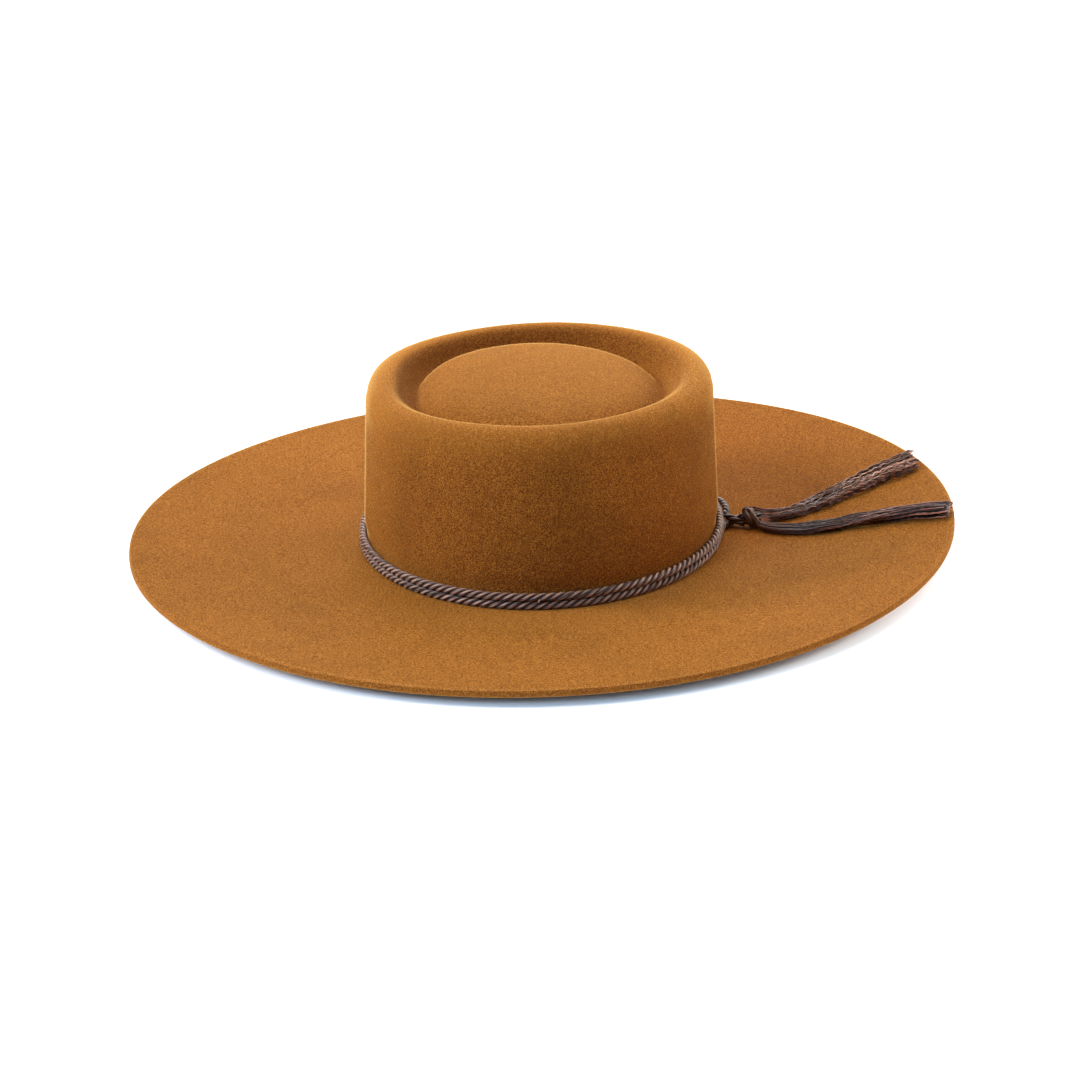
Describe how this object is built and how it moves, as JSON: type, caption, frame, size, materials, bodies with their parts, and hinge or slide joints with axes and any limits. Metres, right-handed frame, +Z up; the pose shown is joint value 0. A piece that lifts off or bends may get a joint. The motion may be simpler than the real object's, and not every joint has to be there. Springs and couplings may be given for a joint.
{
  "type": "huaso hat",
  "caption": "Wide flat-brimmed felt riding hat with a low telescope crown, a twisted cord around it and a knotted tassel at the wearer's left.",
  "frame": {"origin": "middle of the brim's outline, on the surface that the hat rests on", "axes": "+Z up, -Y towards the front of the hat, +X towards the wearer's left, where the tassel is"},
  "size_m": [0.3972, 0.442, 0.0867],
  "materials": {
    "felt": "brushed wool felt with a fine nap",
    "cord": "satin twisted thread"
  },
  "bodies": {
    "root": {"felt_body": "felt", "hat_cord": "cord", "cord_knot": "cord", "tassel_back": "cord", "tassel_front": "cord"}
  },
  "joints": []
}
